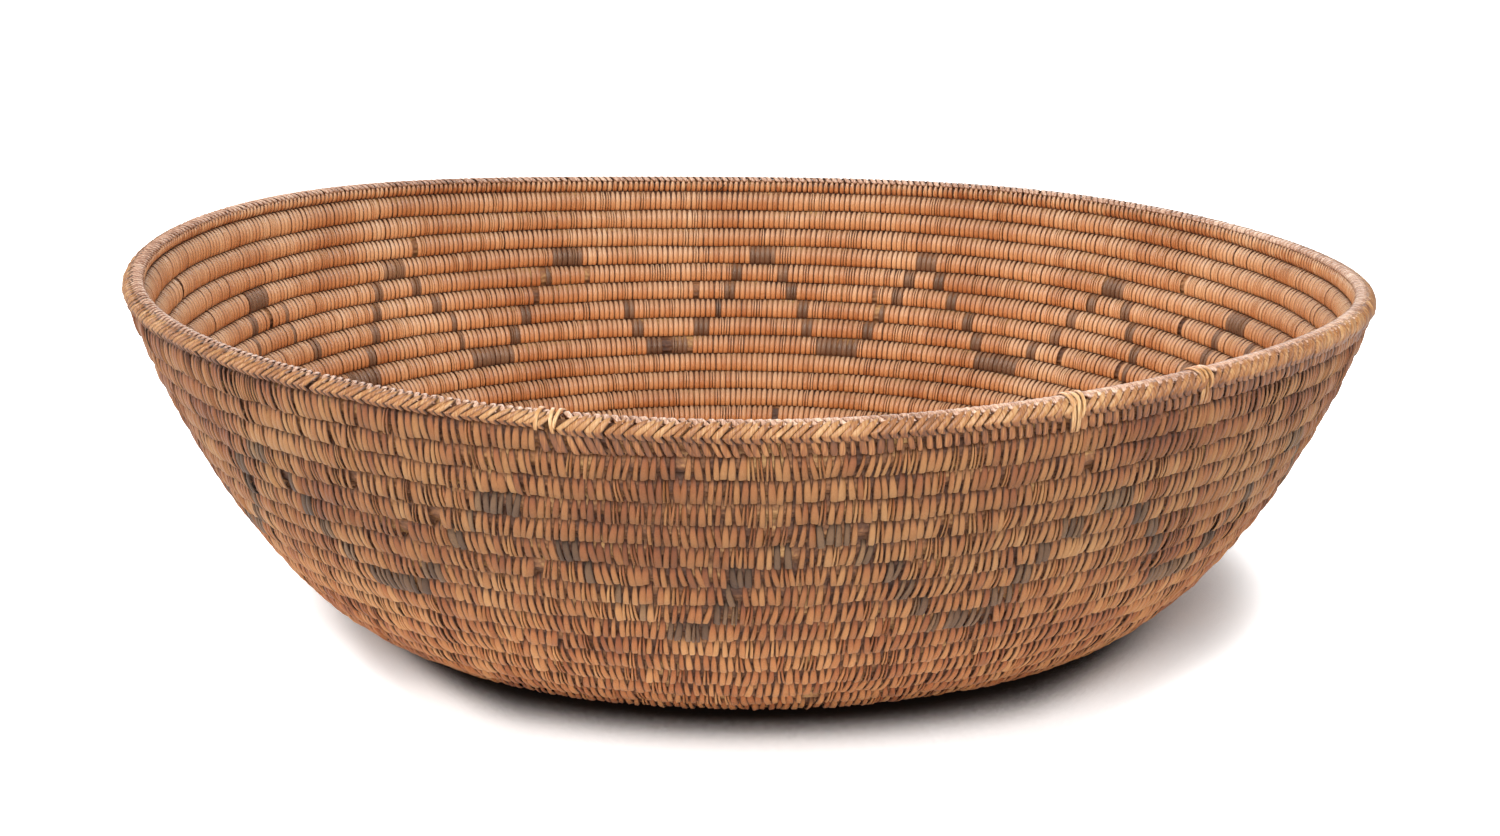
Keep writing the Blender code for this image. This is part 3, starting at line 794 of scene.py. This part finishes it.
# The paths of the lacing's splints, each from one end to the other: depth below the edge, distance out of
# the wall, shift along the rim and half width. A chevron comes over the edge, and turns back down the
# outside over the one before. Nearer the coil's end the row is narrower, and so the chevrons are shorter.
CHEVRON_DEPTH = np.array([0.75, 0.55, 0.85, 1.45, 2.2, 3.0, 3.6, 4.0, 4.35, 4.8, 5.3, 5.8, 6.15, 6.1]) * MM
CHEVRON_OUT = np.array([-0.4, 0.7, 1.8, 2.8, 3.5, 4.0, 4.2, 4.2, 4.1, 4.0, 3.9, 3.75, 3.45, 2.7]) * MM
CHEVRON_ALONG = np.array([4.7, 4.1, 3.35, 2.45, 1.55, 0.75, 0.22, 0.0, 0.08, 0.3, 0.6, 0.9, 1.1, 1.15]) * MM
CHEVRON_HALF = np.array([0.7, 1.05, 1.3, 1.45, 1.5, 1.5, 1.45, 1.4, 1.4, 1.4, 1.4, 1.35, 1.2, 0.9]) * MM
# Painted shade along a chevron: dark at both ends, where it goes under its neighbours, and partly on its
# lower arm
CHEVRON_SHADE = np.array([1.0, 0.5, 0.1, 0.0, 0.0, 0.0, 0.1, 0.25, 0.4, 0.4, 0.4, 0.45, 0.6, 1.0])
CHEVRON_FALL = np.array([0, 0, 0, 0, 0, 0.1, 0.3, 0.6, 1, 1, 1, 1, 1, 1])
CHEVRON_SHRINK, CHEVRON_SHRINK_SHARE, CHEVRON_TURN = 0.74, 0.35, 3 * MM
CHEVRON_THICKNESS, SPLINT_THICKNESS, LACE_TWIST = -0.6 * MM, -0.5 * MM, -0.2 * MM
# Inside, a splint comes up and passes over the edge to the next chevron
OVER_DEPTH = np.array([3.4, 3.1, 2.6, 2.0, 1.45, 1.05, 0.75, 0.6, 0.6, 0.7, 0.85, 1.05, 1.3, 1.5]) * MM
OVER_OUT = np.array([-2.5, -3.25, -3.5, -3.3, -2.9, -2.3, -1.6, -0.9, -0.2, 0.5, 1.2, 1.8, 2.3, 2.0]) * MM
OVER_ALONG = np.array([-2.3, -2.2, -2.0, -1.7, -1.4, -1.1, -0.75, -0.4, 0.0, 0.45, 0.95, 1.5, 2.1, 2.3]) * MM
OVER_HALF = np.array([0.6, 0.95, 1.2, 1.25, 1.25, 1.2, 1.15, 1.15, 1.1, 1.05, 0.95, 0.85, 0.7, 0.5]) * MM
# Painted shade at both ends of an over, where it goes under its neighbours
OVER_SHADE = np.array([1.0, 0.6, 0.3, 0.1, 0, 0, 0, 0, 0, 0, 0.1, 0.3, 0.7, 1.1])
OVER_SHIFT, OVER_INNER = 1.9 * MM, 0.8
# A leg runs down the outside into the groove under the last turn: how far down it is, as a share
LEG_SPAN = np.array([0.0, 0.05, 0.12, 0.22, 0.32, 0.43, 0.54, 0.65, 0.75, 0.85, 0.93, 0.98, 1.0, 0.98])
LEG_OUT = np.array([2.3, 2.8, 3.1, 3.3, 3.45, 3.6, 3.7, 3.75, 3.75, 3.7, 3.55, 3.3, 2.8, 2.2]) * MM
LEG_TOP, LEG_OVERLAP, LEAST_LEG, LEG_SHIFT = 5.0 * MM, 0.75 * MM, 1.4 * MM, 1.2 * MM
# Painted shade at both ends of a leg, under the chevrons and in the groove
LEG_SHADE = np.array([1.2, 1.0, 0.8, 0.5, 0.3, 0.15, 0.05, 0, 0, 0.05, 0.15, 0.3, 0.6, 1.0])
# Where the legs slant, as in the stretch after the coil's end: angles in degrees and how much
SLANT_DEGREES, SLANT_SHARES = (250, 256, 268, 276, 300), (0, 1, 0.8, 0, 0)

# The joints of the lacing, in degrees round the rim. At three of them the splints cross in a splice
PLAIN_JOINTS = (12, 62, 112, 158, 201, 232)
SPLICES = (-50, 254, 297)
SPLICE_HALF_LENGTH = 1.6 * MM
joints = sorted(PLAIN_JOINTS + SPLICES)


def join_pieces(pieces, name):
    """Joins pieces into the first one, as one set of splints."""
    select_only(pieces)
    bpy.ops.object.join()
    pieces[0].name = pieces[0].data.name = name
    return pieces[0]


for number, (start, end) in enumerate(zip(joints, joints[1:] + [joints[0] + 360]), 1):
    first = rim_arc_at(start) + SPLICE_HALF_LENGTH * (start in SPLICES)
    last = rim_arc_at(end) - SPLICE_HALF_LENGTH * ((end - 360 if end > 300 else end) in SPLICES)
    draw = np.random.default_rng(number)
    arc = np.arange(first + LACE_PITCH / 2, last, LACE_PITCH)
    count = len(arc)
    arc = arc + draw.normal(0, 0.12, count) * MM
    tone = draw.normal(0, 0.5, count)
    slip = draw.normal(0, 0.12, (count, 1)) * MM
    wide = draw.normal(1, 0.07, (count, 1))
    steep = draw.normal(1, 0.12, (count, 1))
    drop = draw.normal(0, 0.15, (count, 1)) * MM
    degrees = np.interp(arc, RIM_ARC, rim_degrees)
    full_share = np.clip(rim_turns(degrees) / CHEVRON_SHRINK_SHARE, 0, 1)[:, None]
    full = CHEVRON_SHRINK + (1 - CHEVRON_SHRINK) * full_share
    chevrons = lay_strips(
        "chevrons", on_rim, arc,
        np.stack([CHEVRON_DEPTH * full + drop * (CHEVRON_DEPTH > CHEVRON_TURN), CHEVRON_OUT + slip], -1),
        CHEVRON_ALONG * steep, CHEVRON_HALF * wide, CHEVRON_THICKNESS, LACE_TWIST, CHEVRON_SHADE, 0.0,
        CHEVRON_FALL, tone,
    )
    tone = tone + draw.normal(0.0, 0.5, count)
    overs = lay_strips(
        "overs", on_rim, arc, np.stack([OVER_DEPTH, OVER_OUT], -1),
        OVER_ALONG * steep + OVER_SHIFT, OVER_HALF * wide, SPLINT_THICKNESS, LACE_TWIST, OVER_SHADE,
        OVER_INNER, 0.0, tone,
    )
    pieces = [chevrons, overs]
    arc = np.arange(rim_arc_at(start) + LACE_PITCH / 2, rim_arc_at(end), LACE_PITCH)
    groove = first_groove(np.interp(arc, RIM_ARC, rim_degrees))
    arc, groove = (values[groove + LEG_OVERLAP - LEG_TOP > LEAST_LEG] for values in (arc, groove))
    count = len(arc)
    if count:
        slanted = np.interp(arc, rim_arc_at(np.array(SLANT_DEGREES)), SLANT_SHARES)[:, None]
        length = groove[:, None] + LEG_OVERLAP + draw.normal(0, 0.2, (count, 1)) * MM - LEG_TOP
        slant = draw.normal(0.5, 0.4, (count, 1)) * MM + slanted * 2 * MM
        pieces.append(lay_strips(
            "legs", on_rim, arc + draw.normal(0, 0.15, count) * MM,
            np.stack([LEG_TOP + LEG_SPAN * length, LEG_OUT + 0 * length], -1),
            LEG_SHIFT + LEG_SPAN * slant - slanted * MM, draw.normal(1.08, 0.14, (count, 1)) * MM,
            SPLINT_THICKNESS, draw.normal(0, 0.12, (count, 1)) * MM, LEG_SHADE, 0.0, 1.0,
            draw.normal(-0.5, 0.6, count),
        ))
    lacing = join_pieces(pieces, "rim_lacing_length_" + str(number))
    lacing.data.materials.append(lace_finish)
    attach(lacing, "root")
    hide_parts("rim_lacing_" + str(number))

# The inside of the last turn: the splints of the lacing come up over it from the first groove, as close
# and even as the sewing below. Their values run from the edge down, and are turned round to lay them.
WRAP_PITCH, WRAPS_SEED, WRAPS_FROM, WRAPS_TO = 2.3 * MM, 31, -50, 310
WRAP_SPAN = np.array([0.0, 0.07, 0.15, 0.25, 0.35, 0.45, 0.55, 0.65, 0.75, 0.84, 0.91, 0.97, 1.0, 0.98])
WRAP_OUT = np.array(
    [-1.9, -2.5, -2.9, -3.2, -3.35, -3.35, -3.3, -3.15, -2.9, -2.5, -2.0, -1.5, -1.0, -0.6]
) * MM
WRAP_TOP, WRAP_OVERLAP, LEAST_WRAP, WRAP_LEAN = 1.6 * MM, 0.3 * MM, 1.8 * MM, -0.4 * MM
# Painted shade at both ends of a wrap, under the edge and in the groove
WRAP_SHADE = np.array([1, 0.9, 0.5, 0.2, 0.05, 0, 0, 0, 0.1, 0.25, 0.4, 0.6, 0.9, 1.0])
WRAP_HALF = np.array([0.6, 0.9, 1.02, 1.04, 1.02, 0.98, 0.92, 0.86, 0.8, 0.74, 0.68, 0.62, 0.55, 0.45]) * MM
draw = np.random.default_rng(WRAPS_SEED)
wrap_arc = np.arange(rim_arc_at(WRAPS_FROM), rim_arc_at(WRAPS_TO), WRAP_PITCH)
wrap_count = len(wrap_arc)
wrap_groove = first_groove(np.interp(wrap_arc, RIM_ARC, rim_degrees))[:, None]
wrap_length = np.maximum(wrap_groove + WRAP_OVERLAP - WRAP_TOP, LEAST_WRAP)
wraps = lay_strips(
    "rim_wraps", on_rim, wrap_arc + draw.normal(0, 0.07, wrap_count) * MM,
    np.stack([WRAP_TOP + WRAP_SPAN * wrap_length, WRAP_OUT + 0 * wrap_length], -1)[:, ::-1],
    (1 - WRAP_SPAN)[::-1] * WRAP_LEAN, WRAP_HALF, SPLINT_THICKNESS, 0.0, WRAP_SHADE[::-1], 1.0,
    WRAP_SPAN[::-1], draw.normal(0, 0.5, wrap_count),
)
wraps.data.materials.append(plain_finish)
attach(wraps, "root")
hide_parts("rim_coil")

# The splices: where one lacing splint ran out and the next began, its end was laid across the braid and
# bound in by a few wide wraps. They are the palest splints of the bowl and stand a little proud.
splice_finish = splint_finish(
    "splice_splints_pale_gold",
    (("#926437", "#B3804D", "#C49663", "#D7B789"), ("#804F2B", "#A16839", "#B8804C", "#CE9A67")),
    (("#A57551", "#C6936D", "#D9A882", "#EBC5A2"), ("#945F3B", "#B87A52", "#CF9369", "#E0A981")),
    "#341C0E",
    (0.3, 0.5),
    0.5,
)
SPLICE_DEPTH = np.array([2.4, 1.9, 1.2, 0.5, 0.0, -0.35, -0.4, -0.1, 0.8, 2.2, 3.7, 5.2, 6.5, 7.0]) * MM
SPLICE_OUT = np.array([-2.9, -3.6, -3.5, -2.9, -2.1, -0.9, 0.4, 1.9, 3.2, 4.0, 4.4, 4.4, 4.0, 3.1]) * MM
# Painted shade at both ends of a splice's wraps
SPLICE_SHADE = np.array([1, 0.6, 0.2, 0, 0, 0, 0, 0, 0, 0, 0.05, 0.15, 0.4, 1.0])
SPLICE_FALL = np.array([0, 0, 0, 0, 0, 0, 0, 0, 0, 0, 0.2, 0.5, 0.8, 1.0])
SPLICE_RUN = np.linspace(-0.5, 0.5, STATIONS)
SPLICE_TWIST, SPLICE_TONE, OVER_EDGE = 0.05 * MM, 0.4, 0.5 * MM
SPLICE_NODES = {-50: "lacing_splice_1", 254: "lacing_splice_2", 297: "lacing_splice_3"}
# For each splice, its wraps: the place along the rim, the run along it from inside to outside, the half
# width, how far it reaches down compared with a plain one, and how far it stands proud, all but one in mm
SPLICE_WRAPS = {
    254: ((-3.9, -0.4, 0.7, 0.72, 0.3), (0.1, 2.4, 0.65, 0.8, 0.45), (2.0, -1.6, 0.6, 0.6, 0.15)),
    297: ((-2.0, 2.4, 0.9, 1.6, 0.2), (0.1, 1.5, 0.8, 1.62, 0.05), (1.9, -1.6, 0.6, 0.95, 0.2)),
    -50: ((-2.2, 2.6, 0.85, 1.5, 0.15), (-0.4, 2.4, 0.6, 1.55, 0.0), (1.4, -0.8, 0.7, 0.75, 0.3)),
}
for number, (degrees, bound) in enumerate(SPLICE_WRAPS.items(), 1):
    place_along, run, half, reach, proud = np.array(bound).T[:, :, None]
    reached = (SPLICE_DEPTH > OVER_EDGE) & (SPLICE_OUT > 0)
    depth = SPLICE_DEPTH * np.where(reached, reach, 1)
    splice = lay_strips(
        "rim_splice_" + str(number), on_rim, rim_arc_at(degrees) + place_along[:, 0] * MM,
        np.stack([depth, SPLICE_OUT + proud * MM * (SPLICE_OUT > 0)], -1), SPLICE_RUN * run * MM,
        half * MM * np.ones(STATIONS), CHEVRON_THICKNESS, SPLICE_TWIST, SPLICE_SHADE, SPLICE_OUT < 0,
        SPLICE_FALL, SPLICE_TONE * np.sin(7 * place_along[:, 0]),
    )
    splice.data.materials.append(splice_finish)
    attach(splice, "root")
    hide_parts(SPLICE_NODES[degrees])

# The start knot: the first few inches of the bundle tied on itself in the middle of the base, and bound
# over with splints both ways. It is drawn as a flattened ball under two layers of bands.
KNOT_HEIGHT, HEART_INSET, HEART_LOWERED = 5.6 * MM, 0.7 * MM, 0.3 * MM
KNOT_BANDS, BAND_STEP, BAND_HALF, BAND_THICKNESS = 6, 2.0 * MM, 0.9 * MM, 0.45 * MM
BAND_INSET, OVER_BANDS_LIFT, BAND_TWIST, BAND_TONE = 0.3 * MM, 0.25 * MM, 0.05 * MM, 0.4
DOME_FOOT, DOME_RISE, DOME_ROUND = 0.48, 0.42, 0.96
knot_run = np.linspace(-1, 1, STATIONS)
knot_arch = np.sqrt(np.clip(1 - (DOME_ROUND * knot_run) ** 2, 0, 1))


def on_knot(across, along, height):
    """Points on the knot's dome."""
    return np.stack([across, along, height], -1)


bpy.ops.object.select_all(action="DESELECT")
bpy.ops.mesh.primitive_uv_sphere_add(segments=32, ring_count=16, radius=1)
knot = bpy.context.object
bpy.ops.object.mode_set(mode="EDIT")
heart_radius = KNOT_RADIUS - HEART_INSET
bpy.ops.transform.resize(
    value=(heart_radius, heart_radius, KNOT_HEIGHT / 2 - HEART_LOWERED), center_override=(0, 0, 0)
)
bpy.ops.transform.translate(value=(0, 0, KNOT_HEIGHT / 2))
bpy.ops.object.mode_set(mode="OBJECT")
bpy.ops.object.shade_smooth()
knot.name = knot.data.name = "knot_heart"
knot.data.materials.append(rods_material)
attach(knot, "root")
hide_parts("start_knot")
for turned, name in ((0, "knot_under_bands"), (1, "knot_over_bands")):
    across = (np.arange(KNOT_BANDS) - (KNOT_BANDS - 1) / 2) * BAND_STEP
    reach = np.sqrt((KNOT_RADIUS - BAND_INSET) ** 2 - across**2)[:, None]
    rise = KNOT_HEIGHT * DOME_RISE + turned * OVER_BANDS_LIFT
    dome = KNOT_HEIGHT * DOME_FOOT + rise * knot_arch * (reach / KNOT_RADIUS)
    # The bands are painted darker toward their ends, as shade where they go under the knot's edge
    bands = lay_strips(
        name, (lambda a, b, c: on_knot(b, a, c)) if turned else on_knot, across,
        np.stack([-knot_run * reach, dome], -1), 0.0, BAND_HALF, BAND_THICKNESS, BAND_TWIST,
        abs(knot_run) ** 3, 1.0, 0.3, BAND_TONE * np.sin(5 * np.arange(KNOT_BANDS)),
    )
    bands.data.materials.append(plain_finish)
    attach(bands, "root")
    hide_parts("start_knot")

# The setting: a plain pale floor, and soft light from a large lamp above and in front, one overhead, one at
# each side, one behind and a small low one in front for the gloss. The camera is where the photograph's was.

# To the camera alone the floor is white paper with a painted contact shadow close to the bowl: how far
# round a place is looked at for the bowl, how open it is where its glow starts and is full, and where the
# paper's white over the painted shadow colour does. Each side, from one place across the floor to another,
# counts as more open than it is, so that the painted shadow is lighter there.
OPEN_REACH, OPEN_SAMPLES = 60 * MM, 12
GLOW_FROM, GLOW_FULL, PAPER_FROM, PAPER_FULL = 0.6, 0.86, 0.24, 0.46
LIT_SIDES = ((-70 * MM, -150 * MM, 0.45), (80 * MM, 150 * MM, 0.2))
bpy.ops.object.select_all(action="DESELECT")
bpy.ops.mesh.primitive_plane_add(size=12)
floor = bpy.context.object
floor.name = "floor"
floor_material, floor_shader = new_material("matt_white_paper")
floor_shader.inputs["Base Color"].default_value = linear("#EDEDED")
floor_shader.inputs["Roughness"].default_value = 0.9
floor_shader.inputs["Specular IOR Level"].default_value = 0.1
open_sky = add_node(
    floor_material, "AmbientOcclusion", {"Distance": OPEN_REACH}, samples=OPEN_SAMPLES
).outputs["AO"]
across_floor = add_node(
    floor_material, "SeparateXYZ", {0: add_node(floor_material, "TexCoord").outputs["Object"]}
).outputs["X"]
for shaded, lit, gain in LIT_SIDES:
    side_light = add_node(
        floor_material, "MapRange", {0: across_floor, 1: shaded, 2: lit, 3: 0.0, 4: gain},
        interpolation_type="SMOOTHSTEP",
    ).outputs[0]
    open_sky = add_node(floor_material, "Math", {0: open_sky, 1: side_light}, operation="ADD").outputs[0]
glow_share, paper_share = (
    add_node(
        floor_material, "MapRange", {0: open_sky, 1: start, 2: full, 3: 0.0, 4: 1.0},
        interpolation_type="SMOOTHSTEP",
    ).outputs[0]
    for start, full in ((GLOW_FROM, GLOW_FULL), (PAPER_FROM, PAPER_FULL))
)
# The paper's colour: a painted shadow colour near the bowl, white in the open
painted_shadow_paper = add_node(
    floor_material, "Mix", {0: paper_share, 6: linear("#2C2725"), 7: linear("#F4F4F4")}, data_type="RGBA"
).outputs[2]
seen_paper = add_node(floor_material, "BsdfDiffuse", {"Color": painted_shadow_paper}).outputs[0]
glow = add_node(floor_material, "Emission", {"Strength": glow_share}).outputs[0]
seen_paper = add_node(floor_material, "AddShader", {0: seen_paper, 1: glow}).outputs[0]
seen = add_node(floor_material, "LightPath").outputs["Is Camera Ray"]
paper = add_node(
    floor_material, "MixShader", {0: seen, 1: floor_shader.outputs[0], 2: seen_paper}
).outputs[0]
floor_material.node_tree.links.new(
    paper, floor_material.node_tree.nodes["Material Output"].inputs["Surface"]
)
floor.data.materials.append(floor_material)

scene = bpy.context.scene
world = bpy.data.worlds.new("studio")
scene.world = world
world.use_nodes = True
background = world.node_tree.nodes["Background"]
background.inputs["Color"].default_value = linear("#FFFFFF")
WORLD_LEVEL, WHITE_LEVEL = 0.16, 1.0
seen = add_node(world, "LightPath").outputs["Is Camera Ray"]
level = add_node(world, "MapRange", {"Value": seen, "To Min": WORLD_LEVEL, "To Max": WHITE_LEVEL})
world.node_tree.links.new(level.outputs["Result"], background.inputs["Strength"])

for name, location, size, power in (
    ("key_lamp", (-0.12, -1.05, 1.25), (1.5, 0.6), 27),
    ("top_lamp", (-0.1, 0.15, 1.5), (1.4, 1.4), 6.5),
    ("low_lamp", (0.05, -1.35, 0.34), (0.3, 0.08), 4.6),
    ("left_lamp", (-1.3, -0.05, 0.6), (0.9, 0.5), 10.5),
    ("right_lamp", (1.3, -0.05, 0.6), (0.9, 0.5), 6),
    ("back_lamp", (0.1, 1.35, 0.9), (1.4, 0.6), 8),
):
    lamp_data = bpy.data.lights.new(name, "AREA")
    lamp_data.shape, lamp_data.energy = "RECTANGLE", power
    lamp_data.size, lamp_data.size_y = size
    lamp = bpy.data.objects.new(name, lamp_data)
    scene.collection.objects.link(lamp)
    lamp.location = location
    lamp.rotation_euler = (-lamp.location).to_track_quat("-Z", "Y").to_euler()

CAMERA_AT, AIM_HEIGHT = (0, -0.9988, 0.3173), 0.0577
camera_data = bpy.data.cameras.new("camera")
camera_data.lens, camera_data.sensor_width = 68.4, 36
camera_data.shift_x, camera_data.shift_y = -0.0005, 0.0041
camera_data.clip_start = 0.05
camera = bpy.data.objects.new("camera", camera_data)
scene.collection.objects.link(camera)
camera.location = CAMERA_AT
camera.rotation_euler = (math.radians(90) - math.atan2(CAMERA_AT[2] - AIM_HEIGHT, -CAMERA_AT[1]), 0, 0)
scene.camera = camera
scene.view_settings.view_transform = "Standard"
